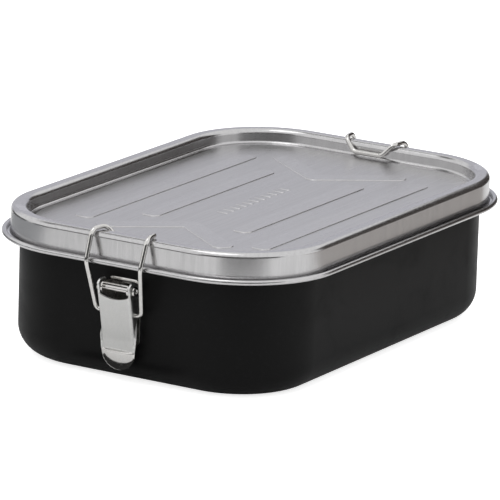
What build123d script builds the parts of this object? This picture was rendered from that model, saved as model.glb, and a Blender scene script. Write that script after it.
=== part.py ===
from build123d import *
import math
import os

# A rectangular steel lunch box: deep-drawn tray, pressed lid with a silicone seal,
# and an over-centre wire latch on each short end.
# Frame: origin at the centre of the tray's underside, +X along the length, +Z up.
# Wall sections are drawn as (offset, height), with offset measured outward from the tray's
# outer wall face.

# Driving dimensions, millimetres
TRAY_LENGTH = 200.0
TRAY_WIDTH = 137.6
CORNER_RADIUS = 36.6
SHEET = 0.6

FLOOR_FILLET = 11.9
FOOT_FLAT = 2.0
RIM_CURL_RADIUS = 1.2
RIM_CURL_HEIGHT = 57.5

LID_TOP = 62.85
PANEL_TOP = 56.8
SKIRT_OFFSET = 3.6
INNER_WALL_OFFSET = -2.7
CHANNEL_BEND = 1.9
PANEL_BEND = 1.5
PANEL_EDGE_OFFSET = -6.0
BEAD_BOTTOM = 50.35
BEAD_OUTER_OFFSET = 7.6
BEAD_ROLL_RADIUS = 0.85
BEAD_ROLL_SWEEP = 285.0
BEAD_TROUGH_BEND = 0.9

RIB_WIDTH = 8.8
RIB_RISE = 0.3
RIB_SLOPE = 35.0
RIB_END_RADIUS = 3.2
LONG_RIB_HALF_LENGTH = 67.5
LONG_RIB_Y = 42.8
SHORT_RIB_HALF_LENGTH = 48.5
SHORT_RIB_Y = 22.3
CHEVRON_TIP_X = 44.9
CHEVRON_ARM_END_X = 68.4
CHEVRON_ARM_END_Y = 31.5
CHEVRON_TIP_RADIUS = 5.0
CHEVRON_NOTCH_RADIUS = 1.0

SEAL_BOTTOM = 59.2
SEAL_SIDE_GAP = 0.1
SEAL_TOP_BEVEL = 1.5

# Latch positions are (out, height), with out measured from the tray's end wall
LATCH_SHEET = 0.8
PIVOT = (5.8, 41.3)
BAIL_PIVOT = (4.2, 31.0)
PIN_RADIUS = 1.3
RUNNING_GAP = 0.05
HEAD_GAP = 0.15
PIN_HEAD_RADIUS = 2.1
PIN_HEAD_THICKNESS = 0.9
PIN_HEAD_FILLET = 0.5

BASE_WIDTH = 16.0
BASE_BOTTOM = 16.5
BASE_TOP = 44.8
BASE_CORNER = 3.0
EAR_OUTER_Y = 6.7
EAR_RADIUS = 2.7
EAR_BOTTOM = 34.5
EAR_TOP = 44.4

LEVER_HALF_WIDTH = 7.9
LEVER_HEAD_RADIUS = 4.1
LEVER_TOP = (8.6, 38.6)
LEVER_KNEE = (4.5, 19.5)
LEVER_TIP = (4.1, 13.6)
LEVER_KNEE_RADIUS = 14.0
CHEEK_OUTLINE = [(8.9, 38.7), (5.8, 42.3), (1.7, 41.3), (1.6, 30.5), (2.7, 27.8), (4.0, 21.0), (5.1, 21.0)]
SPOON_RADIUS = 7.9
SPOON_CENTRE_HEIGHT = 14.4
SPOON_RIM_OUT = 3.7
SPOON_BULGE = 1.3

WIRE_RADIUS = 1.0
ELBOW_BEND = 2.2
KNEE_BEND = 6.0
SHOULDER_BEND = 4.0
ARCH_BEND = 3.6
HOOK_BEND = 3.0
BAIL_END_Y = 6.4
BAIL_FOOT_Y = 10.9
BAIL_KNEE = (9.5, 13.0, 51.9)
BAIL_SHOULDER = (5.1, 13.3, 64.1)
BAIL_ARCH_END = (-3.5, 11.9, 64.2)
BAIL_HOOK = (-5.0, 7.0, 58.9)

HALF_LENGTH = TRAY_LENGTH / 2
HALF_WIDTH = TRAY_WIDTH / 2
CORNER_X = HALF_LENGTH - CORNER_RADIUS
CORNER_Y = HALF_WIDTH - CORNER_RADIUS
HALF_SHEET = SHEET / 2


def wall_section(spine):
    """Thicken a centre line drawn as (offset, height) into a sheet section."""
    outline = offset(spine, amount=HALF_SHEET, side=Side.BOTH)
    face = make_face(outline)
    return Plane.XZ * Pos(CORNER_RADIUS, 0) * face


def around_box(section):
    """Carry a section right round the box: four bends and four straight walls."""
    bend = revolve(section, Axis.Z, revolution_arc=90)
    end_wall = Pos(CORNER_X, 0) * extrude(section, amount=CORNER_Y, both=True)
    side_wall = Pos(0, CORNER_Y) * Rot(0, 0, 90) * extrude(section, amount=CORNER_X, both=True)
    ring = Pos(CORNER_X, CORNER_Y) * bend
    ring += Pos(-CORNER_X, CORNER_Y) * Rot(0, 0, 90) * bend
    ring += Pos(-CORNER_X, -CORNER_Y) * Rot(0, 0, 180) * bend
    ring += Pos(CORNER_X, -CORNER_Y) * Rot(0, 0, 270) * bend
    for turn in (0, 180):
        ring += Rot(0, 0, turn) * end_wall
        ring += Rot(0, 0, turn) * side_wall
    return ring


def plate(inset, bottom, thickness):
    """A flat rounded plate whose edge lies at the given offset from the tray wall."""
    outline = RectangleRounded(
        TRAY_LENGTH + 2 * inset,
        TRAY_WIDTH + 2 * inset,
        CORNER_RADIUS + inset,
    )
    return Pos(0, 0, bottom) * extrude(outline, amount=thickness)


def make_tray():
    """Floor, walls and an outward curl along the rim, drawn from one sheet."""
    wall = -HALF_SHEET
    foot_end = wall - FLOOR_FILLET - FOOT_FLAT
    line = FilletPolyline(
        (foot_end, HALF_SHEET),
        (wall, HALF_SHEET),
        (wall, RIM_CURL_HEIGHT),
        radius=FLOOR_FILLET,
    )
    curl = CenterArc((wall + RIM_CURL_RADIUS, RIM_CURL_HEIGHT), RIM_CURL_RADIUS, 180, -285)
    ring = around_box(wall_section(Wire([*line.edges(), *curl.edges()])))
    return ring + plate(foot_end, 0, SHEET)


def rib_outline(half_length):
    """A long straight rib with softly squared ends."""
    return RectangleRounded(2 * half_length, RIB_WIDTH, RIB_END_RADIUS)


def chevron_outline():
    """A V-shaped rib whose tip points to the middle of the lid."""
    arm = Vector(CHEVRON_ARM_END_X - CHEVRON_TIP_X, CHEVRON_ARM_END_Y)
    along = arm.normalized()
    across = Vector(-along.Y, along.X) * (RIB_WIDTH / 2)
    tip_shift = RIB_WIDTH / 2 / along.Y
    end = Vector(CHEVRON_TIP_X + tip_shift, 0) + arm
    outer, inner = end + across, end - across
    return make_face(
        FilletPolyline(
            (CHEVRON_TIP_X, 0),
            (outer.X, -outer.Y),
            (inner.X, -inner.Y),
            (CHEVRON_TIP_X + 2 * tip_shift, 0),
            (inner.X, inner.Y),
            (outer.X, outer.Y),
            close=True,
            radius=[
                CHEVRON_TIP_RADIUS,
                RIB_END_RADIUS,
                RIB_END_RADIUS,
                CHEVRON_NOTCH_RADIUS,
                RIB_END_RADIUS,
                RIB_END_RADIUS,
            ],
        )
    )


def make_ribs(bottom):
    """The raised ribs, as solids with sloping sides standing on the given height."""
    outlines = []
    for side in (1, -1):
        outlines.append(Pos(0, side * LONG_RIB_Y) * rib_outline(LONG_RIB_HALF_LENGTH))
        outlines.append(Pos(0, side * SHORT_RIB_Y) * rib_outline(SHORT_RIB_HALF_LENGTH))
    outlines.append(chevron_outline())
    outlines.append(Rot(0, 0, 180) * chevron_outline())
    return [Pos(0, 0, bottom) * extrude(each, amount=RIB_RISE, taper=RIB_SLOPE) for each in outlines]


def make_lid():
    """Recessed ribbed panel, raised channel, skirt and a trough with a rolled edge, in one sheet."""
    top = LID_TOP - HALF_SHEET
    panel = PANEL_TOP - HALF_SHEET
    trough = BEAD_BOTTOM + HALF_SHEET
    roll_offset = BEAD_OUTER_OFFSET - HALF_SHEET - BEAD_ROLL_RADIUS
    line = FilletPolyline(
        (PANEL_EDGE_OFFSET, panel),
        (INNER_WALL_OFFSET, panel),
        (INNER_WALL_OFFSET, top),
        (SKIRT_OFFSET, top),
        (SKIRT_OFFSET, trough),
        (roll_offset, trough),
        radius=[PANEL_BEND, CHANNEL_BEND, CHANNEL_BEND, BEAD_TROUGH_BEND],
    )
    roll = CenterArc((roll_offset, trough + BEAD_ROLL_RADIUS), BEAD_ROLL_RADIUS, -90, BEAD_ROLL_SWEEP)
    ring = around_box(wall_section(Wire([*line.edges(), *roll.edges()])))
    lid = ring + plate(PANEL_EDGE_OFFSET, PANEL_TOP - SHEET, SHEET)
    for hollow in make_ribs(PANEL_TOP - SHEET):
        lid -= hollow
    for rib in make_ribs(PANEL_TOP):
        lid += rib
    return lid


def make_seal():
    """The silicone gasket that lies in the lid's channel and meets the tray rim."""
    inner = INNER_WALL_OFFSET + HALF_SHEET + SEAL_SIDE_GAP
    outer = SKIRT_OFFSET - HALF_SHEET - SEAL_SIDE_GAP
    top = LID_TOP - SHEET
    outline = Polyline(
        (inner, SEAL_BOTTOM),
        (outer, SEAL_BOTTOM),
        (outer, top - SEAL_TOP_BEVEL),
        (outer - SEAL_TOP_BEVEL, top),
        (inner + SEAL_TOP_BEVEL, top),
        (inner, top - SEAL_TOP_BEVEL),
        close=True,
    )
    return around_box(Plane.XZ * Pos(CORNER_RADIUS, 0) * make_face(outline))


def cross_pin(centre, radius, half_length):
    """A round bar across the latch at a point given as (out, height)."""
    bar = Rot(90, 0, 0) * Cylinder(radius, 2 * half_length)
    return Pos(centre[0], 0, centre[1]) * bar


def side_plates(outline, outer_y):
    """Two upright plates, drawn as (out, height), a sheet thick inside outer_y."""
    left = Pos(0, outer_y) * extrude(Plane.XZ * outline, amount=LATCH_SHEET)
    return left + mirror(left, Plane.XZ)


def make_bracket():
    """Base plate on the wall with two ears that hold the pivot pin."""
    height = BASE_TOP - BASE_BOTTOM
    base = Pos(0, 0, (BASE_TOP + BASE_BOTTOM) / 2) * (
        Plane.YZ * RectangleRounded(BASE_WIDTH, height, BASE_CORNER)
    )
    bracket = extrude(base, amount=LATCH_SHEET)
    root = make_face(
        Polyline(
            (0, EAR_BOTTOM),
            (PIVOT[0], PIVOT[1] - EAR_RADIUS),
            (PIVOT[0], PIVOT[1] + EAR_RADIUS),
            (0, EAR_TOP),
            close=True,
        )
    )
    ear = root + Pos(*PIVOT) * Circle(EAR_RADIUS)
    bracket += side_plates(ear, EAR_OUTER_Y)
    return bracket - cross_pin(PIVOT, PIN_RADIUS, BASE_WIDTH)


def make_pivot_pin():
    """Rivet through both ears and both lever cheeks."""
    head_start = LEVER_HALF_WIDTH + HEAD_GAP
    pin = cross_pin(PIVOT, PIN_RADIUS, head_start + PIN_HEAD_THICKNESS / 2)
    head = Rot(90, 0, 0) * Cylinder(PIN_HEAD_RADIUS, PIN_HEAD_THICKNESS)
    head = fillet(head.edges().filter_by(GeomType.CIRCLE).sort_by(Axis.Y)[0], PIN_HEAD_FILLET)
    head = Pos(PIVOT[0], -head_start - PIN_HEAD_THICKNESS / 2, PIVOT[1]) * head
    return pin + head + mirror(head, Plane.XZ)


def plate_line():
    """Centre line of the lever's front plate, from its top edge to the spoon."""
    return FilletPolyline(LEVER_TOP, LEVER_KNEE, LEVER_TIP, radius=LEVER_KNEE_RADIUS)


def make_lever():
    """Front plate, two cheeks and a bulged spoon tip, pressed from one sheet."""
    section = Plane.XZ * make_face(offset(plate_line(), amount=LATCH_SHEET / 2, side=Side.BOTH))
    lever = extrude(section, amount=LEVER_HALF_WIDTH, both=True)
    cheek = make_face(Polyline(*CHEEK_OUTLINE, close=True))
    cheek += Pos(*PIVOT) * Circle(LEVER_HEAD_RADIUS)
    lever += side_plates(cheek, LEVER_HALF_WIDTH)
    lever += make_spoon()
    lever -= cross_pin(PIVOT, PIN_RADIUS + RUNNING_GAP, BASE_WIDTH)
    return lever - cross_pin(BAIL_PIVOT, WIRE_RADIUS + RUNNING_GAP, BASE_WIDTH)


def make_spoon():
    """Lower half of a shallow dome that ends the lever."""
    ball = (SPOON_RADIUS**2 + SPOON_BULGE**2) / (2 * SPOON_BULGE)
    centre = Pos(SPOON_RIM_OUT + SPOON_BULGE - ball, 0, SPOON_CENTRE_HEIGHT)
    shell = centre * (Sphere(ball + LATCH_SHEET / 2) - Sphere(ball - LATCH_SHEET / 2))
    tip = Pos(0, 0, SPOON_CENTRE_HEIGHT) * (Plane.YZ * Circle(SPOON_RADIUS))
    reach = SPOON_RIM_OUT + 2 * SPOON_BULGE
    block = Box(4 * ball, 4 * ball, 4 * ball)
    above = Pos(0, 0, SPOON_CENTRE_HEIGHT + 2 * ball) * block
    outside = block - extrude(tip, amount=reach)
    return shell - above - outside


def make_bail():
    """Sprung wire loop from the cheek holes, up over the lid's channel and into the recess."""
    half = [
        (BAIL_PIVOT[0], BAIL_END_Y, BAIL_PIVOT[1]),
        (BAIL_PIVOT[0], BAIL_FOOT_Y, BAIL_PIVOT[1]),
        BAIL_KNEE,
        BAIL_SHOULDER,
        BAIL_ARCH_END,
        BAIL_HOOK,
    ]
    other = [(out, -y, z) for out, y, z in reversed(half)]
    bends = [ELBOW_BEND, KNEE_BEND, SHOULDER_BEND, ARCH_BEND, HOOK_BEND]
    path = FilletPolyline(*half, *other, radius=bends + bends[::-1])
    profile = Plane(origin=path @ 0, z_dir=path % 0) * Circle(WIRE_RADIUS)
    return sweep(profile, path=path)


def place_latch(piece, turn):
    """Move a latch piece from its drawing position to one end of the tray."""
    return Rot(0, 0, turn) * Pos(HALF_LENGTH, 0, 0) * piece


def main():
    os.makedirs("parts", exist_ok=True)
    nodes = {"tray": make_tray(), "lid": make_lid(), "seal": make_seal()}
    latch = {
        "bracket": make_bracket(),
        "pivot_pin": make_pivot_pin(),
        "lever": make_lever(),
        "bail": make_bail(),
    }
    for end, turn in (("front", 180), ("rear", 0)):
        for name, piece in latch.items():
            nodes[f"{end}_{name}"] = place_latch(piece, turn)
    for name, shape in nodes.items():
        export_step(shape, f"parts/{name}.step")


main()
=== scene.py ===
"""Looks of a steel lunch box with two wire latches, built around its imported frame.

Sizes in the classes are millimetres, except in the studio, and angles are degrees. Meshes are
made in metres, in the frame's own axes. Wall sections are drawn as (offset, height), with offset
measured outward from the tray's outer wall. Latch sections are drawn as (out, height), with out
measured from the end wall.
"""

import logging
import math
from collections.abc import Callable
from dataclasses import dataclass, field
from enum import Enum

import bmesh
import bpy
from mathutils import Matrix, Quaternion, Vector
from mathutils.geometry import delaunay_2d_cdt

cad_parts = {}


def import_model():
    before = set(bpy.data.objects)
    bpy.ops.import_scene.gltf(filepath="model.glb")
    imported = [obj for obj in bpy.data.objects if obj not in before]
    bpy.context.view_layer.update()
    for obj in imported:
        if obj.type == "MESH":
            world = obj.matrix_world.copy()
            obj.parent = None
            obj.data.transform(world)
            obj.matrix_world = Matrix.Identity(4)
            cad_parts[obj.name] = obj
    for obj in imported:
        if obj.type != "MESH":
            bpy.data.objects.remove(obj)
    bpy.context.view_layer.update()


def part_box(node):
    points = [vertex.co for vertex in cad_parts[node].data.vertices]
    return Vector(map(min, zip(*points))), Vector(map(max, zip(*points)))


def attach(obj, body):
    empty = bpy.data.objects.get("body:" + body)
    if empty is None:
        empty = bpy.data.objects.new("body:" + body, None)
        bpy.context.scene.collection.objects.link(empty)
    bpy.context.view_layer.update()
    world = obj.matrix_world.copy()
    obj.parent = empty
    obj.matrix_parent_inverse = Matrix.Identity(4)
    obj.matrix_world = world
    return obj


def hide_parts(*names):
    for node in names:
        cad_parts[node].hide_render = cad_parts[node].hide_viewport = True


MM = 0.001
NET_TOLERANCE = 1e-5  # Points of a net closer than this, in millimetres, become one.
SHARPEST_MITRE = 0.3  # Keeps a line's sharp corners from running away when it is moved.

Point = tuple[float, float]
Spot = tuple[float, float, float]
Colour = tuple[float, float, float, float]
log = logging.getLogger("lunch_box")


class End(Enum):
    """The two short ends of the box, each with its turn about the vertical in degrees."""

    FRONT = 180.0
    REAR = 0.0

    @property
    def word(self) -> str:
        """The end's name as used in node and body names."""
        return self.name.lower()


# --------------------------------------------------------------------------- outlines


def arc_points(
    centre: Point, radius: float, start: float, sweep: float, steps: int
) -> list[Point]:
    """Points along a circular arc.

    Args:
        centre: Centre of the arc.
        radius: Radius of the arc.
        start: Direction of the first point, counter-clockwise from the first axis.
        sweep: Angle covered, negative for clockwise.
        steps: Number of equal steps.

    Returns:
        steps + 1 points.
    """
    angles = [math.radians(start + sweep * i / steps) for i in range(steps + 1)]
    return [(centre[0] + radius * math.cos(a), centre[1] + radius * math.sin(a)) for a in angles]


def full_turn(steps: int) -> list[float]:
    """Equal angles round a circle, in radians."""
    return [2 * math.pi * i / steps for i in range(steps)]


def rounded_route(
    corners: list[tuple], radii: list[float], steps: int = 8, closed: bool = False
) -> list[Vector]:
    """A run of straight lines with its corners rounded, in two or three dimensions.

    Args:
        corners: Corner points in order.
        radii: Radius at each corner, the two ends of an open run left out.
        steps: Steps along each rounded corner.
        closed: Whether the run returns to its first corner.

    Returns:
        Points along the run.
    """
    count = len(corners)
    spots = [] if closed else [Vector(corners[0])]
    inner = range(count) if closed else range(1, count - 1)
    for i, radius in zip(inner, radii):
        here = Vector(corners[i])
        back = (Vector(corners[i - 1]) - here).normalized()
        ahead = (Vector(corners[(i + 1) % count]) - here).normalized()
        half = back.angle(ahead) / 2
        reach = radius / math.tan(half)
        centre = here + (back + ahead).normalized() * (radius / math.sin(half))
        first = (here + back * reach - centre).normalized()
        last = (here + ahead * reach - centre).normalized()
        spots += [centre + first.slerp(last, k / steps) * radius for k in range(steps + 1)]
    if not closed:
        spots.append(Vector(corners[-1]))
    return spots


def as_pairs(route: list[Vector]) -> list[Point]:
    """The route's points as plain pairs."""
    return [(spot.x, spot.y) for spot in route]


def loop_edges(count: int, first: int = 0) -> list[tuple[int, int]]:
    """The edges that join count points in a loop, numbered from first."""
    return [(first + i, first + (i + 1) % count) for i in range(count)]


def beside(line: list[Point], distance: float, closed: bool = False) -> list[Point]:
    """A line moved to its own left.

    Args:
        line: Points in order.
        distance: How far to move, negative for the right.
        closed: Whether the line returns to its first point.

    Returns:
        The moved points, one for each given point.
    """
    count = len(line)
    spots = [Vector(p) for p in line]
    moved = []
    for i, here in enumerate(spots):
        before = spots[i - 1] if closed or i else here * 2 - spots[1]
        after = spots[(i + 1) % count] if closed or i < count - 1 else here * 2 - spots[-2]
        first = (here - before).normalized()
        second = (after - here).normalized()
        left = Vector((-(first + second).y, (first + second).x)).normalized()
        mitre = max(SHARPEST_MITRE, left.dot(Vector((-first.y, first.x))))
        moved.append(here + left * (distance / mitre))
    return as_pairs(moved)


def inside(spot: Point, outline: list[Point]) -> bool:
    """Whether a point lies inside a closed outline.

    Args:
        spot: The point.
        outline: Points of the outline in order.

    Returns:
        True where the point lies inside.
    """
    x, y = spot
    hit = False
    for (ax, ay), (bx, by) in zip(outline, outline[1:] + outline[:1]):
        if (ay > y) != (by > y) and x < (bx - ax) * (y - ay) / (by - ay) + ax:
            hit = not hit
    return hit


def smooth_step(value: float) -> float:
    """A soft step from 0 at value 0 to 1 at value 1."""
    value = min(1.0, max(0.0, value))
    return value * value * (3 - 2 * value)


@dataclass(frozen=True)
class Footprint:
    """Plan of the box: a rectangle with round corners, and every curve parallel to it."""

    half_length: float
    half_width: float
    corner_radius: float = 36.6
    corner_steps: int = 28
    long_steps: int = 12
    short_steps: int = 8

    def loop(self, offset: float) -> list[Point]:
        """The plan outline, moved outward.

        Args:
            offset: Distance outward, negative for inward.

        Returns:
            Points counter-clockwise, the same number for every offset.
        """
        core_x = self.half_length - self.corner_radius
        core_y = self.half_width - self.corner_radius
        cores = [(core_x, core_y), (-core_x, core_y), (-core_x, -core_y), (core_x, -core_y)]
        bends = [
            arc_points(core, self.corner_radius + offset, 90 * i, 90, self.corner_steps)
            for i, core in enumerate(cores)
        ]
        points = []
        for i, bend in enumerate(bends):
            steps = (self.long_steps, self.short_steps)[i % 2]
            start, end = Vector(bend[-1]), Vector(bends[(i + 1) % 4][0])
            points += bend + as_pairs([start.lerp(end, k / steps) for k in range(1, steps)])
        return points


# --------------------------------------------------------------------------- mesh making


def linked(name: str, data: bpy.types.ID) -> bpy.types.Object:
    """Makes an object for some data and links it to the scene.

    Args:
        name: Name of the object.
        data: Its mesh, lamp or camera.

    Returns:
        The object.
    """
    piece = bpy.data.objects.new(name, data)
    bpy.context.scene.collection.objects.link(piece)
    return piece


def plate_mesh(name: str, corners: list[tuple], material: bpy.types.Material) -> bpy.types.Object:
    """A four-sided plate.

    Args:
        name: Name of the plate.
        corners: Its corners, metres.
        material: Its material.

    Returns:
        The plate.
    """
    mesh = bpy.data.meshes.new(name)
    mesh.from_pydata(corners, [], [(0, 1, 2, 3)])
    mesh.materials.append(material)
    return linked(name, mesh)


class MeshDraft:
    """Vertices and faces of one piece while it is being built, in millimetres."""

    END_ROUNDING = 0.3  # Depth of the round at a bar's end, as a share of its radius.
    END_RINGS = 3

    def __init__(self) -> None:
        """Starts with nothing."""
        self.spots: list[Vector] = []
        self.faces: list[list[int]] = []
        self.slots: list[int] = []

    def add(self, spots: list) -> list[int]:
        """Adds vertices.

        Args:
            spots: Their positions.

        Returns:
            Their numbers.
        """
        first = len(self.spots)
        self.spots += [Vector(s) for s in spots]
        return list(range(first, len(self.spots)))

    def face(self, corners: list[int], slot: int = 0) -> None:
        """Adds one face with a finish slot."""
        self.faces.append(corners)
        self.slots.append(slot)

    def bridge(
        self, low: list[int], high: list[int], slot: int = 0, closed: bool = True
    ) -> None:
        """Joins two rows of vertices with four-sided faces.

        Args:
            low: First row.
            high: Second row, as long as the first.
            slot: Finish slot of the faces.
            closed: Whether the rows are loops.
        """
        for i, j in loop_edges(len(low))[: None if closed else -1]:
            self.face([low[i], low[j], high[j], high[i]], slot)

    def bridge_all(self, loops: list[list[int]], slot: int = 0) -> None:
        """Joins each loop of vertices to the next."""
        for low, high in zip(loops, loops[1:]):
            self.bridge(low, high, slot)

    def swept(
        self, footprint: Footprint, section: list[Point], slot: int = 0
    ) -> list[list[int]]:
        """Carries an open section line round the box.

        Args:
            footprint: The plan to follow.
            section: Points as (offset, height).
            slot: Finish slot of the faces.

        Returns:
            The vertex loops, one for each section point.
        """
        loops = [self.add([(x, y, z) for x, y in footprint.loop(offset)]) for offset, z in section]
        self.bridge_all(loops, slot)
        return loops

    def sheet(
        self, footprint: Footprint, line: list[Point], thick: float, slots: tuple[int, int]
    ) -> tuple[list[int], list[int]]:
        """Carries a sheet of metal round the box, both skins and its free outer edge.

        Args:
            footprint: The plan to follow.
            line: Centre line of the sheet as (offset, height), from the inside outward.
            thick: Thickness of the sheet.
            slots: Finish slots of the left and right skins.

        Returns:
            The innermost vertex loops of the left and right skins.
        """
        left = self.swept(footprint, beside(line, thick / 2), slots[0])
        right = self.swept(footprint, beside(line, -thick / 2), slots[1])
        self.bridge(left[-1], right[-1], slots[0])
        return left[0], right[0]

    def prism(
        self,
        outline: list[Point],
        place: Callable[[Point, float], tuple],
        low: float,
        high: float,
    ) -> None:
        """A closed plate with the given outline.

        Args:
            outline: Closed outline.
            place: Turns an outline point and a level into a position.
            low: Level of the first side.
            high: Level of the second side.
        """
        first = self.add([place(p, low) for p in outline])
        second = self.add([place(p, high) for p in outline])
        self.bridge(first, second)
        self.face(first[::-1])
        self.face(second)

    def lathe(self, profile: list[Point], steps: int) -> None:
        """A solid of revolution about the Y axis.

        Args:
            profile: Points as (radius, along), its first and last on the axis.
            steps: Facets round the axis.
        """
        turns = full_turn(steps)
        rings = [
            self.add([(r * math.cos(a), y, r * math.sin(a)) for a in turns])
            for r, y in profile[1:-1]
        ]
        self.bridge_all(rings)
        for ring, (_, y) in ((rings[0], profile[0]), (rings[-1], profile[-1])):
            tip = self.add([(0, y, 0)])[0]
            for a, b in zip(ring, ring[1:] + ring[:1]):
                self.face([a, b, tip])

    def tube(self, route: list[Vector], radius: float, steps: int) -> None:
        """A round bar along a route, with softly rounded ends.

        Args:
            route: Points along the middle of the bar.
            radius: Radius of the bar.
            steps: Facets round the bar.
        """
        ahead = (route[1] - route[0]).normalized()
        side = ahead.orthogonal().normalized()
        rings = []
        last = len(route) - 1
        for i, spot in enumerate(route):
            before = (spot - route[i - 1]).normalized() if i else ahead
            after = (route[i + 1] - spot).normalized() if i < last else before
            heading = (before + after).normalized()
            side = (side - heading * side.dot(heading)).normalized()
            up = heading.cross(side)
            rim = [side * math.cos(a) + up * math.sin(a) for a in full_turn(steps)]
            for shift, share in self.end_steps(radius, i, last):
                rings.append(self.add([spot + heading * shift + r * radius * share for r in rim]))
        self.bridge_all(rings)
        self.face(rings[0][::-1])
        self.face(rings[-1])

    def end_steps(self, radius: float, number: int, last: int) -> list[Point]:
        """The rings that a bar has at one point of its route, several where it ends.

        Args:
            radius: Radius of the bar.
            number: Number of the point.
            last: Number of the last point.

        Returns:
            For each ring, its shift along the bar and its share of the radius.
        """
        if 0 < number < last:
            return [(0.0, 1.0)]
        depth = self.END_ROUNDING
        angles = [math.pi / 2 * k / self.END_RINGS for k in range(self.END_RINGS + 1)]
        rings = [
            (depth * radius * (1 - math.cos(a)), 1 - depth * (1 - math.sin(a))) for a in angles
        ]
        return rings if number == 0 else [(-shift, share) for shift, share in reversed(rings)]

    def drop_unused(self) -> None:
        """Removes the vertices that no face uses."""
        used = sorted({i for f in self.faces for i in f})
        fresh = {old: new for new, old in enumerate(used)}
        self.spots = [self.spots[i] for i in used]
        self.faces = [[fresh[i] for i in f] for f in self.faces]

    def build(
        self, name: str, finishes: list[bpy.types.Material], turn: Matrix | None = None
    ) -> bpy.types.Object:
        """Makes the Blender object, with every face turned outward.

        Args:
            name: Name of the piece.
            finishes: Materials, one for each slot.
            turn: Placement in millimetres, if the draft isn't already in place.

        Returns:
            The new object, linked to the scene.
        """
        turn = turn or Matrix.Identity(4)
        mesh = bpy.data.meshes.new(name)
        mesh.from_pydata([(turn @ s) * MM for s in self.spots], [], self.faces)
        for material in finishes:
            mesh.materials.append(material)
        mesh.polygons.foreach_set("material_index", self.slots)
        piece = linked(name, mesh)
        work = bmesh.new()
        work.from_mesh(mesh)
        bmesh.ops.recalc_face_normals(work, faces=work.faces)
        work.to_mesh(mesh)
        work.free()
        return piece


def shade(piece: bpy.types.Object, sharp: float = 38.0) -> None:
    """Smooth shading with crisp folds.

    Args:
        piece: The piece to shade.
        sharp: Folds over this angle stay crisp.
    """
    mesh = piece.data
    mesh.polygons.foreach_set("use_smooth", [True] * len(mesh.polygons))
    mesh.set_sharp_from_angle(angle=math.radians(sharp))
    weights = piece.modifiers.new("even_shading", "WEIGHTED_NORMAL")
    weights.keep_sharp = True


def bake_modifiers(piece: bpy.types.Object) -> None:
    """Replaces the piece's mesh by the result of its modifiers.

    Args:
        piece: The piece.
    """
    graph = bpy.context.evaluated_depsgraph_get()
    graph.update()
    made = bpy.data.meshes.new_from_object(piece.evaluated_get(graph))
    piece.modifiers.clear()
    piece.data = made


def soften(
    piece: bpy.types.Object, width: float, segments: int = 2, angle: float = 40.0
) -> None:
    """Rounds the piece's hard edges.

    Args:
        piece: The piece.
        width: Width of the rounding.
        segments: Facets across the rounding.
        angle: Only folds over this angle are rounded.
    """
    bevel = piece.modifiers.new("soft_edges", "BEVEL")
    bevel.width = width * MM
    bevel.segments = segments
    bevel.limit_method = "ANGLE"
    bevel.angle_limit = math.radians(angle)
    bake_modifiers(piece)


# --------------------------------------------------------------------------- finishes


class NodeDesk:
    """Adds and links shader nodes in one tree."""

    def __init__(self, tree: bpy.types.NodeTree) -> None:
        """Works on the given tree."""
        self.tree = tree

    def link(self, source: object, target: bpy.types.NodeSocket) -> None:
        """Joins an output to an input, or sets the input to a plain value.

        Args:
            source: The output, or the value.
            target: The input.
        """
        if isinstance(source, bpy.types.NodeSocket):
            self.tree.links.new(source, target)
        else:
            target.default_value = source

    def add(self, kind: str, **settings: object) -> bpy.types.Node:
        """Adds a node, and sets its properties and feeds its inputs.

        Args:
            kind: The node's type name.
            settings: Properties of the node, and outputs or values for its inputs by socket
                name, with _ for spaces.

        Returns:
            The new node.
        """
        node = self.tree.nodes.new(kind)
        for key, value in settings.items():
            if hasattr(node, key):
                setattr(node, key, value)
            else:
                self.link(value, node.inputs[key.replace("_", " ")])
        return node

    def place(self) -> bpy.types.NodeSocket:
        """The surface point in the piece's own coordinates."""
        return self.add("ShaderNodeTexCoord").outputs["Object"]

    def maths(self, operation: str, first: object, second: object) -> bpy.types.NodeSocket:
        """A two-value maths node.

        Args:
            operation: Name of the operation.
            first: A socket or a number.
            second: A socket or a number.

        Returns:
            The node's output.
        """
        node = self.add("ShaderNodeMath", operation=operation)
        self.link(first, node.inputs[0])
        self.link(second, node.inputs[1])
        return node.outputs[0]

    def ramp(
        self, value: bpy.types.NodeSocket, low: float, high: float, to: Point = (0.0, 1.0)
    ) -> bpy.types.NodeSocket:
        """Spreads a value over another range, smoothly and clamped.

        Args:
            value: The value.
            low: The value that gives the start of the range.
            high: The value that gives its end.
            to: Start and end of the range.

        Returns:
            The spread value.
        """
        node = self.add("ShaderNodeMapRange", interpolation_type="SMOOTHSTEP", Value=value,
                        From_Min=low, From_Max=high, To_Min=to[0], To_Max=to[1])
        return node.outputs["Result"]

    def blend(
        self, share: bpy.types.NodeSocket, first: object, second: object
    ) -> bpy.types.NodeSocket:
        """A colour mixed from two others.

        Args:
            share: Share of the second colour.
            first: A socket or a colour.
            second: A socket or a colour.

        Returns:
            The mixed colour.
        """
        node = self.add("ShaderNodeMix", data_type="RGBA", Factor=share)
        self.link(first, node.inputs[6])
        self.link(second, node.inputs[7])
        return node.outputs[2]

    def emboss(
        self, shader: bpy.types.Node, height: bpy.types.NodeSocket, strength: float, depth: float
    ) -> None:
        """Gives a shader a bumpy surface.

        Args:
            shader: The shader.
            height: Height of the bumps, 0 to 1.
            strength: How strongly they show.
            depth: How deep they are.
        """
        bump = self.add("ShaderNodeBump", Strength=strength, Distance=depth * MM, Height=height)
        self.link(bump.outputs["Normal"], shader.inputs["Normal"])


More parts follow.
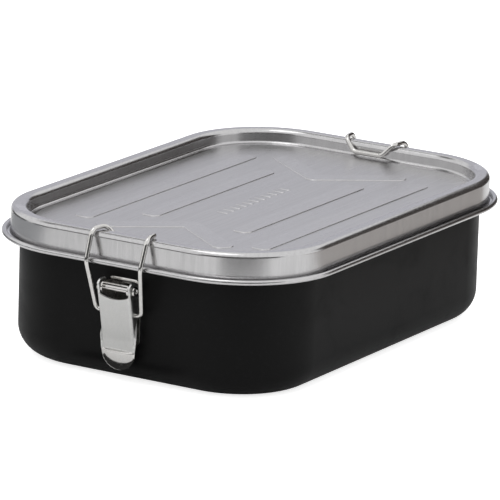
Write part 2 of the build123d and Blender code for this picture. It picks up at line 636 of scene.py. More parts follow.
class Effects:
    """Surface effects shared by the finishes, each a node group built once."""

    def __init__(self) -> None:
        """Builds every group."""
        self.grain = self.make_grain()
        self.wear = self.make_wear()
        self.smears = self.make_smears()
        self.pebble = self.make_pebble()

    @staticmethod
    def start(
        name: str, inputs: dict[str, object], outputs: list[str]
    ) -> tuple[NodeDesk, bpy.types.Node, bpy.types.Node]:
        """Starts a group.

        Args:
            name: Name of the group.
            inputs: Values of the inputs by name, a number or three numbers.
            outputs: Names of the value outputs.

        Returns:
            A desk for the group, its input node and its output node.
        """
        group = bpy.data.node_groups.new(name, "ShaderNodeTree")
        for label, value in inputs.items():
            kind = "NodeSocketVector" if isinstance(value, tuple) else "NodeSocketFloat"
            socket = group.interface.new_socket(label, in_out="INPUT", socket_type=kind)
            socket.default_value = value
        for label in outputs:
            group.interface.new_socket(label, in_out="OUTPUT", socket_type="NodeSocketFloat")
        desk = NodeDesk(group)
        return desk, desk.add("NodeGroupInput"), desk.add("NodeGroupOutput")

    def make_grain(self) -> bpy.types.NodeTree:
        """Brushed streaks: fine and coarse noise stretched along the brushing.

        Returns:
            The group.
        """
        sockets = {"Stretch": (1.0, 1.0, 1.0), "Coarse Share": 0.3}
        desk, source, out = self.start("brushed_grain", sockets, ["Streaks", "Fine"])
        stretch = desk.add("ShaderNodeVectorMath", operation="MULTIPLY")
        desk.link(desk.place(), stretch.inputs[0])
        desk.link(source.outputs["Stretch"], stretch.inputs[1])
        along = stretch.outputs[0]
        fine = desk.add("ShaderNodeTexNoise", Vector=along, Scale=1.0, Detail=3.0, Roughness=0.65)
        wide = desk.add("ShaderNodeTexNoise", Vector=along, Scale=0.16, Detail=2.0, Roughness=0.5)
        streaks = desk.ramp(fine.outputs["Fac"], 0.25, 0.75)
        mixed = desk.add("ShaderNodeMix", data_type="FLOAT", Factor=source.outputs["Coarse Share"])
        desk.link(streaks, mixed.inputs[2])
        desk.link(desk.ramp(wide.outputs["Fac"], 0.3, 0.7), mixed.inputs[3])
        desk.link(mixed.outputs[0], out.inputs["Streaks"])
        desk.link(streaks, out.inputs["Fine"])
        return desk.tree

    def make_wear(self) -> bpy.types.NodeTree:
        """Rubbed edges: sharp convex folds, broken up by a small noise.

        Returns:
            The group.
        """
        sockets = {"Reach": 0.06, "Break Scale": 900.0}
        desk, source, out = self.start("edge_wear", sockets, ["Wear"])
        fold = desk.add("ShaderNodeNewGeometry").outputs["Pointiness"]
        noise = desk.add("ShaderNodeTexNoise", Vector=desk.place(),
                         Scale=source.outputs["Break Scale"], Detail=4.0, Roughness=0.7)
        share = desk.maths("DIVIDE", desk.maths("SUBTRACT", fold, 0.5), source.outputs["Reach"])
        broken = desk.maths("MULTIPLY", share, desk.ramp(noise.outputs["Fac"], 0.35, 0.6))
        desk.link(desk.ramp(broken, 0.0, 1.0), out.inputs["Wear"])
        return desk.tree

    def make_smears(self) -> bpy.types.NodeTree:
        """Faint handling marks: soft clouds with a finer mottle inside them.

        Returns:
            The group.
        """
        desk, source, out = self.start("handling_smears", {"Scale": 30.0}, ["Smears"])
        place, scale = desk.place(), source.outputs["Scale"]
        finer = desk.maths("MULTIPLY", scale, 9.0)
        cloud = desk.add("ShaderNodeTexNoise", Vector=place, Scale=scale, Detail=5.0,
                         Roughness=0.6, Distortion=0.8)
        mottle = desk.add("ShaderNodeTexNoise", Vector=place, Scale=finer, Detail=2.0,
                          Roughness=0.5)
        soft = desk.ramp(cloud.outputs["Fac"], 0.45, 0.75)
        small = desk.ramp(mottle.outputs["Fac"], 0.3, 0.7, (0.6, 1.0))
        desk.link(desk.maths("MULTIPLY", soft, small), out.inputs["Smears"])
        return desk.tree

    def make_pebble(self) -> bpy.types.NodeTree:
        """The fine pebbled skin of a sprayed or moulded surface.

        Returns:
            The group.
        """
        desk, source, out = self.start("pebbled_skin", {"Scale": 1500.0}, ["Height", "Specks"])
        place, scale = desk.place(), source.outputs["Scale"]
        wider = desk.maths("MULTIPLY", scale, 0.4)
        pebble = desk.add("ShaderNodeTexVoronoi", feature="SMOOTH_F1", Vector=place, Scale=scale)
        ripple = desk.add("ShaderNodeTexNoise", Vector=place, Scale=wider, Detail=3.0,
                          Roughness=0.55)
        height = desk.maths("ADD", pebble.outputs["Distance"], ripple.outputs["Fac"])
        desk.link(height, out.inputs["Height"])
        desk.link(desk.ramp(ripple.outputs["Fac"], 0.55, 0.75), out.inputs["Specks"])
        return desk.tree


def fresh_material(name: str) -> tuple[bpy.types.Material, NodeDesk, bpy.types.Node]:
    """Starts a material with a Principled shader.

    Args:
        name: Name of the material.

    Returns:
        The material, a desk for its nodes, and the shader.
    """
    material = bpy.data.materials.new(name)
    material.use_nodes = True
    nodes = material.node_tree.nodes
    return material, NodeDesk(material.node_tree), nodes["Principled BSDF"]


@dataclass(frozen=True)
class SteelFinish:
    """Bare stainless steel, brushed, satin or polished.

    stretch is the grain's frequency along X, Y and Z: low along the brushing.
    """

    name: str
    light: Colour
    dark: Colour
    rough: float
    rough_range: float
    stretch: Spot
    coarse_share: float = 0.35
    bump: float = 0.1
    depth: float = 0.02
    smear_scale: float = 28.0
    smear_rough: float = 0.06
    worn_gain: float = 1.12

    def make(self, effects: Effects) -> bpy.types.Material:
        """Builds the material.

        Args:
            effects: The shared node groups.

        Returns:
            The material.
        """
        material, desk, shader = fresh_material(self.name)
        shader.inputs["Metallic"].default_value = 1.0
        grain = desk.add("ShaderNodeGroup", node_tree=effects.grain, Stretch=self.stretch,
                         Coarse_Share=self.coarse_share)
        smears = desk.add("ShaderNodeGroup", node_tree=effects.smears, Scale=self.smear_scale)
        wear = desk.add("ShaderNodeGroup", node_tree=effects.wear)
        brushed = desk.blend(grain.outputs["Streaks"], self.dark, self.light)
        worn = (*(min(1.0, c * self.worn_gain) for c in self.light[:3]), 1.0)
        desk.link(desk.blend(wear.outputs["Wear"], brushed, worn), shader.inputs["Base Color"])
        streak_rough = desk.maths("MULTIPLY", grain.outputs["Streaks"], -self.rough_range)
        smear_rough = desk.maths("MULTIPLY", smears.outputs["Smears"], self.smear_rough)
        rough = desk.maths("ADD", streak_rough, self.rough + self.rough_range / 2)
        desk.link(desk.maths("ADD", rough, smear_rough), shader.inputs["Roughness"])
        desk.emboss(shader, grain.outputs["Fine"], self.bump, self.depth)
        return material


@dataclass(frozen=True)
class CoatFinish:
    """A sprayed or moulded skin: powder coat or silicone."""

    name: str
    base: Colour
    speck: Colour
    worn: Colour
    rough: float
    specular: float
    pebble_scale: float
    bump: float
    depth: float = 0.03
    wear_reach: float = 0.12
    speck_rough: float = 0.06
    smear_rough: float = 0.10

    def make(self, effects: Effects) -> bpy.types.Material:
        """Builds the material.

        Args:
            effects: The shared node groups.

        Returns:
            The material.
        """
        material, desk, shader = fresh_material(self.name)
        shader.inputs["Specular IOR Level"].default_value = self.specular
        pebble = desk.add("ShaderNodeGroup", node_tree=effects.pebble, Scale=self.pebble_scale)
        smears = desk.add("ShaderNodeGroup", node_tree=effects.smears)
        wear = desk.add("ShaderNodeGroup", node_tree=effects.wear, Reach=self.wear_reach)
        specked = desk.blend(pebble.outputs["Specks"], self.base, self.speck)
        coat = desk.blend(wear.outputs["Wear"], specked, self.worn)
        desk.link(coat, shader.inputs["Base Color"])
        specks = desk.maths("MULTIPLY", pebble.outputs["Specks"], self.speck_rough)
        marks = desk.maths("MULTIPLY", smears.outputs["Smears"], self.smear_rough)
        rough = desk.maths("ADD", desk.maths("ADD", specks, marks), self.rough)
        desk.link(rough, shader.inputs["Roughness"])
        desk.emboss(shader, pebble.outputs["Height"], self.bump, self.depth)
        return material


class Finishes:
    """Every material of the lunch box, made once."""

    LIGHT: Colour = (0.60, 0.595, 0.60, 1.0)
    DARK: Colour = (0.51, 0.505, 0.51, 1.0)

    def __init__(self) -> None:
        """Makes the shared effects and all the materials."""
        effects = Effects()
        self.panel = SteelFinish(
            "brushed_panel_steel", self.LIGHT, self.DARK, rough=0.30, rough_range=0.08,
            stretch=(60.0, 5200.0, 5200.0), bump=0.25,
        ).make(effects)
        self.walls = SteelFinish(
            "drawn_wall_steel", self.LIGHT, self.DARK, rough=0.21, rough_range=0.08,
            stretch=(2600.0, 2600.0, 90.0), bump=0.15,
        ).make(effects)
        self.lever = SteelFinish(
            "satin_lever_steel", (0.64, 0.64, 0.63, 1.0), (0.52, 0.52, 0.51, 1.0), rough=0.34,
            rough_range=0.06, stretch=(7000.0, 7000.0, 2500.0), coarse_share=0.15, bump=0.3,
        ).make(effects)
        self.polished = SteelFinish(
            "polished_steel", (0.68, 0.67, 0.655, 1.0), (0.56, 0.55, 0.535, 1.0), rough=0.09,
            rough_range=0.04, stretch=(1800.0, 1800.0, 1800.0), bump=0.05, smear_scale=160.0,
        ).make(effects)
        self.inner = SteelFinish(
            "bare_tray_steel", self.LIGHT, self.DARK, rough=0.26, rough_range=0.08,
            stretch=(1900.0, 1900.0, 120.0), bump=0.25,
        ).make(effects)
        self.powder = CoatFinish(
            "black_powder_coat", (0.0042, 0.0042, 0.0043, 1.0), (0.0065, 0.0065, 0.007, 1.0),
            (0.013, 0.013, 0.014, 1.0), rough=0.42, specular=0.10, pebble_scale=1600.0, bump=0.25,
        ).make(effects)
        self.silicone = CoatFinish(
            "grey_silicone", (0.30, 0.30, 0.31, 1.0), (0.34, 0.34, 0.35, 1.0),
            (0.36, 0.36, 0.37, 1.0), rough=0.55, specular=0.4, pebble_scale=900.0, bump=0.2,
        ).make(effects)


def settle(piece: bpy.types.Object, body: str, node: str) -> None:
    """Ties a finished piece to the frame.

    Args:
        piece: The piece.
        body: Body that it moves with.
        node: CAD node that it stands for.
    """
    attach(piece, body)
    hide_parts(node)
    log.info("%s rides on %s", piece.name, body)


# --------------------------------------------------------------------------- tray and lid


@dataclass
class Tray:
    """The deep-drawn tray: flat floor, round foot, straight wall and a rim curled outward."""

    footprint: Footprint
    sheet: float = 0.6
    floor_flat: float = 1.0
    foot_radius: float = 11.9
    curl_radius: float = 1.2
    curl_height: float = 57.5
    curl_sweep: float = 285.0

    def section(self) -> list[Point]:
        """Centre line of the sheet.

        Returns:
            Points from the floor out to the end of the curl.
        """
        wall = -self.sheet / 2
        floor = self.sheet / 2
        floor_edge = wall - self.foot_radius - self.floor_flat
        corners = [(floor_edge, floor), (wall, floor), (wall, self.curl_height)]
        foot = rounded_route(corners, [self.foot_radius], steps=20)
        centre = (wall + self.curl_radius, self.curl_height)
        return as_pairs(foot) + arc_points(centre, self.curl_radius, 180, -self.curl_sweep, 26)[1:]

    def make(self, finishes: Finishes) -> None:
        """Builds and dresses the tray.

        Args:
            finishes: The materials.
        """
        draft = MeshDraft()
        inner, outer = draft.sheet(self.footprint, self.section(), self.sheet, (1, 0))
        draft.face(inner, 1)
        draft.face(outer[::-1], 0)
        piece = draft.build("Tray_shell", [finishes.powder, finishes.inner])
        shade(piece)
        settle(piece, "tray", "tray")


@dataclass
class RibbedPanel:
    """The lid's flat panel with its raised ribs and a row of small raised bars.

    slope_shares are the lines that shape a rib's side, from 1 at its foot to -1 at its top.
    """

    footprint: Footprint
    edge_offset: float = -6.0
    top: float = 56.8
    sheet: float = 0.6
    rise: float = 0.3
    rib_width: float = 8.8
    rib_end_radius: float = 3.2
    long_rib: Point = (67.5, 42.8)
    short_rib: Point = (48.5, 22.3)
    chevron_tip: float = 44.9
    chevron_arm: Point = (23.5, 31.5)
    chevron_tip_radius: float = 5.0
    chevron_notch_radius: float = 1.0
    bar_count: int = 11
    bar_pitch: float = 5.0
    bar_half: Point = (0.75, 2.6)
    bar_corner: float = 0.7
    bar_rise: float = 0.2
    slope_half: float = 0.105
    slope_shares: tuple[float, ...] = (1.0, 0.7, 0.4, 0.14, -0.14, -0.4, -0.7, -1.0)

    def bar_outline(self, centre: Point, half: Point, radius: float) -> list[Point]:
        """A straight rib's outline.

        Args:
            centre: Middle of the rib.
            half: Half length along X and half width along Y.
            radius: Radius of its corners.

        Returns:
            Closed outline, counter-clockwise.
        """
        x, y = centre
        a, b = half
        corners = [(x + a, y + b), (x - a, y + b), (x - a, y - b), (x + a, y - b)]
        return as_pairs(rounded_route(corners, [radius] * 4, closed=True))

    def chevron_outline(self, side: float) -> list[Point]:
        """A V-shaped rib's outline.

        Args:
            side: 1 for the +X end of the lid, -1 for the other.

        Returns:
            Closed outline, counter-clockwise.
        """
        arm = Vector(self.chevron_arm)
        along = arm.normalized()
        across = Vector((-along.y, along.x)) * (self.rib_width / 2)
        tip_shift = self.rib_width / 2 / along.y
        end = Vector((self.chevron_tip + tip_shift, 0)) + arm
        outer, inner = end + across, end - across
        corners = [
            (self.chevron_tip, 0),
            (outer.x, -outer.y),
            (inner.x, -inner.y),
            (self.chevron_tip + 2 * tip_shift, 0),
            tuple(inner),
            tuple(outer),
        ]
        blunt = self.rib_end_radius
        radii = [self.chevron_tip_radius, blunt, blunt, self.chevron_notch_radius, blunt, blunt]
        turned = [(x * side, y * side) for x, y in corners]
        return as_pairs(rounded_route(turned, radii, closed=True))

    def raised_outlines(self) -> list[tuple[list[Point], float]]:
        """Everything that stands up from the panel.

        Returns:
            The outline and the rise of each shape.
        """
        shapes = []
        for side in (1, -1):
            for half_length, y in (self.long_rib, self.short_rib):
                half = (half_length, self.rib_width / 2)
                rib = self.bar_outline((0, side * y), half, self.rib_end_radius)
                shapes.append((rib, self.rise))
            shapes.append((self.chevron_outline(side), self.rise))
        for i in range(self.bar_count):
            x = (i - (self.bar_count - 1) / 2) * self.bar_pitch
            bar = self.bar_outline((x, 0), self.bar_half, self.bar_corner)
            shapes.append((bar, self.bar_rise))
        return shapes

    def net(self) -> tuple[list[Point], list[float], list[list[int]], list[int]]:
        """The panel as a triangle net.

        Returns:
            Plan points, their heights above the panel, the triangles, and the numbers of the
            points on the panel's edge, in the footprint's order.
        """
        points = self.footprint.loop(self.edge_offset)
        rim_count = len(points)
        heights = [0.0] * rim_count
        edges = loop_edges(rim_count)
        for outline, rise in self.raised_outlines():
            for share in self.slope_shares:
                loop = beside(outline, -share * self.slope_half, closed=True)
                edges += loop_edges(len(loop), len(points))
                points += loop
                heights += [rise * smooth_step((1 - share) / 2)] * len(loop)
        found = delaunay_2d_cdt([Vector(p) for p in points], edges, [], 1, NET_TOLERANCE)
        source = [orig[0] for orig in found[3]]
        spots = as_pairs(found[0])
        lifts = [heights[i] for i in source]
        order = {old: new for new, old in enumerate(source)}
        rim = [order[i] for i in range(rim_count)]
        return spots, lifts, [list(f) for f in found[2]], rim

    def add_to(
        self, draft: MeshDraft, upper_rim: list[int], lower_rim: list[int], slot: int
    ) -> None:
        """Adds both skins of the panel to the lid.

        Args:
            draft: The lid's mesh.
            upper_rim: Vertices of the wall's upper skin that the panel meets.
            lower_rim: Vertices of the wall's lower skin that the panel meets.
            slot: Finish slot of the panel.
        """
        spots, lifts, triangles, rim = self.net()
        for shared, base in ((upper_rim, self.top), (lower_rim, self.top - self.sheet)):
            numbers = draft.add([(x, y, base + lift) for (x, y), lift in zip(spots, lifts)])
            for own, wall in zip(rim, shared):
                numbers[own] = wall
            for triangle in triangles:
                draft.face([numbers[i] for i in triangle], slot)


@dataclass
class Lid:
    """The pressed lid: ribbed panel, raised channel, skirt, and a trough with a rolled edge."""

    footprint: Footprint
    top: float
    panel: RibbedPanel
    sheet: float = 0.6
    inner_wall: float = -2.7
    skirt: float = 3.6
    panel_bend: float = 1.5
    channel_bend: float = 1.9
    trough_bend: float = 0.9
    bead_bottom: float = 50.35
    bead_outer: float = 7.6
    roll_radius: float = 0.85
    roll_sweep: float = 285.0

    def section(self) -> list[Point]:
        """Centre line of the sheet.

        Returns:
            Points from the panel out to the end of the rolled edge.
        """
        panel = self.panel.top - self.sheet / 2
        top = self.top - self.sheet / 2
        trough = self.bead_bottom + self.sheet / 2
        roll_start = self.bead_outer - self.sheet / 2 - self.roll_radius
        corners = [
            (self.panel.edge_offset, panel),
            (self.inner_wall, panel),
            (self.inner_wall, top),
            (self.skirt, top),
            (self.skirt, trough),
            (roll_start, trough),
        ]
        bends = [self.panel_bend, self.channel_bend, self.channel_bend, self.trough_bend]
        centre = (roll_start, trough + self.roll_radius)
        roll = arc_points(centre, self.roll_radius, -90, self.roll_sweep, 30)
        return as_pairs(rounded_route(corners, bends, steps=10)) + roll[1:]

    def make(self, finishes: Finishes) -> None:
        """Builds and dresses the lid.

        Args:
            finishes: The materials.
        """
        draft = MeshDraft()
        upper, lower = draft.sheet(self.footprint, self.section(), self.sheet, (0, 0))
        self.panel.add_to(draft, upper, lower, 1)
        draft.drop_unused()
        piece = draft.build("Lid_shell", [finishes.walls, finishes.panel])
        shade(piece)
        settle(piece, "lid", "lid")


@dataclass
class Seal:
    """The silicone gasket in the lid's channel, with two soft lips that meet the tray rim."""

    footprint: Footprint
    inner: float = -2.3
    outer: float = 3.2
    bottom: float = 59.2
    top: float = 62.25
    bevel: float = 1.5
    lip: float = 0.9
    groove: float = 0.5
    edge_radius: float = 0.3
    lip_radius: float = 0.2
    groove_radius: float = 1.6

    def section(self) -> list[Point]:
        """The gasket's own section.

        Returns:
            Closed outline as (offset, height).
        """
        middle = (self.inner + self.outer) / 2
        corners = [
            (self.inner, self.bottom),
            (self.inner + self.lip, self.bottom),
            (middle, self.bottom + self.groove),
            (self.outer - self.lip, self.bottom),
            (self.outer, self.bottom),
            (self.outer, self.top - self.bevel),
            (self.outer - self.bevel, self.top),
            (self.inner + self.bevel, self.top),
            (self.inner, self.top - self.bevel),
        ]
        lips = [self.lip_radius, self.groove_radius, self.lip_radius]
        radii = [self.edge_radius, *lips, *[self.edge_radius] * 5]
        return as_pairs(rounded_route(corners, radii, steps=4, closed=True))

    def make(self, finishes: Finishes) -> None:
        """Builds and dresses the gasket.

        Args:
            finishes: The materials.
        """
        draft = MeshDraft()
        loops = draft.swept(self.footprint, self.section())
        draft.bridge(loops[-1], loops[0])
        piece = draft.build("Lid_gasket", [finishes.silicone])
        shade(piece)
        settle(piece, "lid", "seal")


# --------------------------------------------------------------------------- latches


@dataclass(frozen=True)
class Seat:
    """Where one latch sits, and what its pieces are dressed in.

    Latch pieces are drawn at the +X end, from the end wall, and place turns them to their end.
    """

    end: End
    place: Matrix
    finishes: Finishes

    def piece(self, word: str) -> str:
        """The name of one of the latch's pieces."""
        return f"{self.end.word.capitalize()}_{word}"

    def node(self, word: str) -> str:
        """The name of one of the latch's CAD nodes or bodies."""
        return f"{self.end.word}_{word}"


@dataclass
class Bracket:
    """Base plate on the end wall with two ears that hold the rivet."""

    width: float = 16.0
    bottom: float = 16.5
    top: float = 44.8
    corner: float = 3.0
    sheet: float = 0.8
    ear_outer: float = 6.7
    ear_radius: float = 2.7
    ear_bottom: float = 34.5
    ear_nose: Point = (-60, 150)
    ear_shoulder: float = 2.0
    ear_top_drop: float = 0.6
    ear_root_share: float = 0.4
    edge_round: float = 0.22
    pivot: Point = (5.8, 41.3)

    def base_outline(self) -> list[Point]:
        """The base plate.

        Returns:
            Closed outline as (across, height).
        """
        a = self.width / 2
        corners = [(a, self.top), (-a, self.top), (-a, self.bottom), (a, self.bottom)]
        return as_pairs(rounded_route(corners, [self.corner] * 4, closed=True))

    def ear_outline(self) -> list[Point]:
        """An ear, with a round nose about the rivet and its root inside the base plate.

        Returns:
            Closed outline as (out, height).
        """
        out, height = self.pivot
        nose = arc_points(self.pivot, self.ear_radius, *self.ear_nose, 16)
        root = self.sheet * self.ear_root_share
        shoulder = (out - self.ear_shoulder, height + self.ear_radius)
        return [(root, self.ear_bottom), *nose, shoulder, (root, self.top - self.ear_top_drop)]

    def make(self, seat: Seat) -> None:
        """Builds and dresses one bracket.

        Args:
            seat: Where the latch sits.
        """
        finish = [seat.finishes.polished]
        base = MeshDraft()
        base.prism(self.base_outline(), lambda p, level: (level, p[0], p[1]), 0.0, self.sheet)
        plate = base.build(seat.piece("bracket"), finish, seat.place)
        for side in (1, -1):
            ear = MeshDraft()
            low, high = side * (self.ear_outer - self.sheet), side * self.ear_outer
            ear.prism(self.ear_outline(), lambda p, level: (p[0], level, p[1]), low, high)
            other = ear.build("ear", finish, seat.place)
            union = plate.modifiers.new("ear", "BOOLEAN")
            union.operation = "UNION"
            union.object = other
            bake_modifiers(plate)
            bpy.data.objects.remove(other)
        soften(plate, self.edge_round, 3)
        shade(plate)
        settle(plate, "tray", seat.node("bracket"))


@dataclass
class Rivet:
    """The pivot rivet, with a rolled ring and a small dome on each head.

    dome gives its points as (radius, depth below the head's face).
    """

    pivot: Point = (5.8, 41.3)
    shank: float = 1.3
    head_radius: float = 2.1
    head_start: float = 8.05
    head_thick: float = 0.9
    ring_radius: float = 0.5
    foot_chamfer: float = 0.1
    facets: int = 40
    dome: tuple[Point, ...] = ((0.0, 0.25), (0.35, 0.27), (0.7, 0.38), (0.95, 0.6))

    def profile(self) -> list[Point]:
        """Half of the rivet's lengthwise section.

        Returns:
            Points from one end to the other as (radius, along).
        """
        ring = self.head_radius - self.ring_radius
        face = self.head_start + self.head_thick
        half = [(r, face - depth) for r, depth in self.dome]
        half += arc_points((ring, face - self.ring_radius), self.ring_radius, 150, -150, 10)
        half += [
            (self.head_radius, self.head_start + self.foot_chamfer),
            (self.head_radius - self.foot_chamfer, self.head_start),
            (self.shank, self.head_start),
        ]
        return half + [(r, -y) for r, y in reversed(half)]

    def make(self, seat: Seat) -> None:
        """Builds and dresses one rivet.

        Args:
            seat: Where the latch sits.
        """
        draft = MeshDraft()
        draft.lathe(self.profile(), self.facets)
        here = seat.place @ Matrix.Translation((self.pivot[0], 0, self.pivot[1]))
        piece = draft.build(seat.piece("rivet"), [seat.finishes.polished], here)
        shade(piece, 50)
        settle(piece, "tray", seat.node("pivot_pin"))


@dataclass
class Lever:
    """The latch lever: one blank folded into a front plate with two cheeks and a domed tip.

    The blank is drawn as (down, across): down the plate from its top edge, and across from the
    middle round the fold. Depth is measured inward from the plate along its cheeks. The folds
    fade out over the stretch between the two distances of fade.
    """

    sheet: float = 0.8
    half_width: float = 7.9
    fold_radius: float = 0.9
    top_edge: Point = (8.6, 38.6)
    knee: Point = (4.5, 19.5)
    tip_line: Point = (4.1, 13.6)
    knee_radius: float = 14.0
    head_centre: Point = (-2.05, 3.30)
    head_radius: float = 3.75
    head_end: float = 188.0
    cheek_back: tuple[Point, ...] = ((9.39, 5.14), (11.80, 3.50), (18.17, 0.80))
    lip_depth: float = 0.15
    lip_top: float = -0.5
    top_sag: float = 1.25
    top_inset: float = 0.3
    spoon_height: float = 14.4
    spoon_radius: float = 7.9
    spoon_bulge: float = 1.25
    spoon_power: float = 1.3
    spoon_droop: float = 0.35
    spoon_step: float = 0.7
    rim_trim: Point = (0.30, 0.08)
    fade: Point = (19.0, 25.0)
    polish_start: float = -0.8
    net_margin: float = 0.3
    net_top: float = -6.0
    net_row: float = 0.45
    net_rows: int = 90
    net_column: float = 0.8
    spoon_rows: tuple[float, ...] = (-0.75, -0.6, -0.45, -0.3, -0.15, 0.0)
    edge_round: float = 0.16
    route: list[Vector] = field(default_factory=list)

    def __post_init__(self) -> None:
        """Lays out the plate's centre line and finds where the domed tip starts."""
        below = Vector(self.tip_line) - Vector(self.knee)
        # The line runs on well past the tip, so that the whole domed tip lies on it.
        end = Vector(self.knee) + below * 4
        corners = [self.top_edge, self.knee, tuple(end)]
        self.route = rounded_route(corners, [self.knee_radius], steps=12)
        # The search goes down the plate in steps of a fiftieth of a millimetre.
        downs = (s / 50 for s in range(2500))
        self.spoon_start = next(s for s in downs if self.on_plate(s)[0].y <= self.spoon_height)

    @property
    def flat_half(self) -> float:
        """Half width of the flat plate, up to the start of the folds."""
        return self.half_width - self.sheet / 2 - self.fold_radius

    def on_plate(self, down: float) -> tuple[Vector, Vector]:
        """Position and outward direction at a distance down the plate's middle line.

        Args:
            down: Distance from the top edge, negative above it.

        Returns:
            The point as (out, height) and the outward direction.
        """
        left = down
        for first, second in zip(self.route, self.route[1:]):
            step = second - first
            heading = step.normalized()
            if left <= step.length:
                break
            left -= step.length
        else:
            left += step.length
        return first + heading * left, Vector((-heading.y, heading.x))

    def across(self, depth: float) -> float:
        """Finds a point of the cheek on the blank.

        Args:
            depth: Depth of the point.

        Returns:
            Its distance across the blank.
        """
        if depth >= self.fold_radius:
            return self.flat_half + self.fold_radius * math.pi / 2 + depth - self.fold_radius
        return self.flat_half + self.fold_radius * math.acos(1 - depth / self.fold_radius)

    def folded(self, down: float, across: float) -> Vector:
        """Place of a blank point on the finished lever.

        Args:
            down: Distance down the plate.
            across: Distance from the middle, round the fold.

        Returns:
            Position as (out, across, height).
        """
        fading = smooth_step((down - self.fade[0]) / (self.fade[1] - self.fade[0]))
        past = max(0.0, abs(across) - self.flat_half)
        angle = min(past / self.fold_radius, math.pi / 2 * (1 - fading))
        rest = past - angle * self.fold_radius
        bend = self.fold_radius * math.sin(angle)
        side = min(abs(across), self.flat_half) + bend + rest * math.cos(angle)
        side = min(side, self.half_width - self.sheet / 2 * math.sin(angle))
        depth = self.fold_radius * (1 - math.cos(angle)) + rest * math.sin(angle)
        middle, outward = self.on_plate(down)
        spot = middle + outward * (self.dome(down, across) - depth)
        return Vector((spot.x, math.copysign(side, across), spot.y))

    def dome(self, down: float, across: float) -> float:
        """How far the domed tip stands out from the plate.

        Args:
            down: Distance down the plate.
            across: Distance from the middle.

        Returns:
            The height, 0 above the tip.
        """
        past = down - self.spoon_start
        share = (past * past + across * across) / self.spoon_radius**2
        swell = math.sqrt(max(0.0, 1 - min(1.0, share) ** self.spoon_power))
        rise = self.spoon_bulge * swell - self.spoon_droop * share
        return rise * smooth_step((past + self.spoon_step) / self.spoon_step)

    def half_outline(self) -> list[Point]:
        """One side of the blank's edge: top, lip, round cheek with its long slope, and tip.

        Returns:
            Points from the middle of its top to the middle of its tip.
        """
        lip = self.across(self.lip_depth)
        corner = self.flat_half - self.top_inset
        marks = [i * corner / 8 for i in range(9)]
        top = [(self.top_sag * (1 - (x / corner) ** 2), x) for x in marks]
        down, depth = self.head_centre
        first = math.degrees(math.acos((depth - self.lip_depth) / self.head_radius))
        head = []
        for i in range(25):
            angle = math.radians(first + (self.head_end - first) * i / 24)
            head.append((
                down - self.head_radius * math.sin(angle),
                depth - self.head_radius * math.cos(angle),
            ))
        cheek = [(s, self.across(d)) for s, d in head[1:] + list(self.cheek_back)]
        reach, width = self.spoon_radius - self.rim_trim[0], self.half_width - self.rim_trim[1]
        quarter = arc_points((0, 0), 1.0, 0, 90, 16)
        tip = [(self.spoon_start + reach * y, width * x) for x, y in quarter]
        return top + [(self.lip_top, lip), (head[0][0], lip)] + cheek + tip

    def blank(self) -> tuple[list[Point], list[tuple[int, int]]]:
        """The whole blank.

        Returns:
            The points of its border and of a net inside it, and the edges of the border.
        """
        half = self.half_outline()
        border = half + [(s, -t) for s, t in reversed(half[1:-1])]
        shrunk = beside(border, -self.net_margin, closed=True)
        plate_middle = (self.fade[0] / 2, 0.0)
        if not inside(plate_middle, shrunk):
            shrunk = beside(border, self.net_margin, closed=True)
        fold = [self.flat_half + k * self.fold_radius * math.pi / 12 for k in range(7)]
        flat = [k * self.flat_half / 8 for k in range(8)]
        cheek = [fold[-1] + self.net_column * k for k in range(1, 9)]
        columns = sorted({side * t for t in flat + fold + cheek for side in (1, -1)})
        rows = [self.net_top + self.net_row * k for k in range(self.net_rows)]
        rows += [self.spoon_start + shift for shift in self.spoon_rows]
        net = [(s, t) for s in rows for t in columns if inside((s, t), shrunk)]
        return border + net, loop_edges(len(border))

    def make(self, seat: Seat) -> None:
        """Builds and dresses one lever.

        Args:
            seat: Where the latch sits.
        """
        points, edges = self.blank()
        flat = [Vector(p) for p in points]
        spots, _, triangles, *_ = delaunay_2d_cdt(flat, edges, [], 1, NET_TOLERANCE)
        draft = MeshDraft()
        draft.add([self.folded(v.x, v.y) for v in spots])
        for triangle in triangles:
            shiny = min(spots[i].x for i in triangle) > self.spoon_start + self.polish_start
            draft.face(list(triangle), int(shiny))
        finish = [seat.finishes.lever, seat.finishes.polished]
        piece = draft.build(seat.piece("lever"), finish, seat.place)
        thick = piece.modifiers.new("sheet", "SOLIDIFY")
        thick.thickness = self.sheet * MM
        thick.offset = 0.0
        thick.use_even_offset = True
        bake_modifiers(piece)
        soften(piece, self.edge_round, 2, 55.0)
        shade(piece, 50)
        settle(piece, seat.node("lever"), seat.node("lever"))


@dataclass
class Bail:
    """The sprung wire loop, from the lever's cheeks up over the lid's channel."""

    wire: float = 0.995
    facets: int = 24
    bends: tuple[float, ...] = (2.2, 6.0, 4.0, 3.6, 3.0)
    foot: Spot = (4.2, 6.4, 31.0)
    elbow: Spot = (4.2, 10.9, 31.0)
    knee: Spot = (9.5, 13.0, 51.9)
    shoulder: Spot = (5.1, 13.3, 64.1)
    arch_end: Spot = (-3.5, 11.9, 64.2)
    hook: Spot = (-5.0, 7.0, 58.9)

    def route(self) -> list[Vector]:
        """Middle line of the wire.

        Returns:
            Points from one cheek round to the other.
        """
        half = [self.foot, self.elbow, self.knee, self.shoulder, self.arch_end, self.hook]
        corners = half + [(out, -y, z) for out, y, z in reversed(half)]
        return rounded_route(corners, [*self.bends, *self.bends[::-1]], steps=12)

    def make(self, seat: Seat) -> None:
        """Builds and dresses one wire loop.

        Args:
            seat: Where the latch sits.
        """
        draft = MeshDraft()
        draft.tube(self.route(), self.wire, self.facets)
        piece = draft.build(seat.piece("bail"), [seat.finishes.polished], seat.place)
        shade(piece, 60)
        settle(piece, seat.node("bail"), seat.node("bail"))


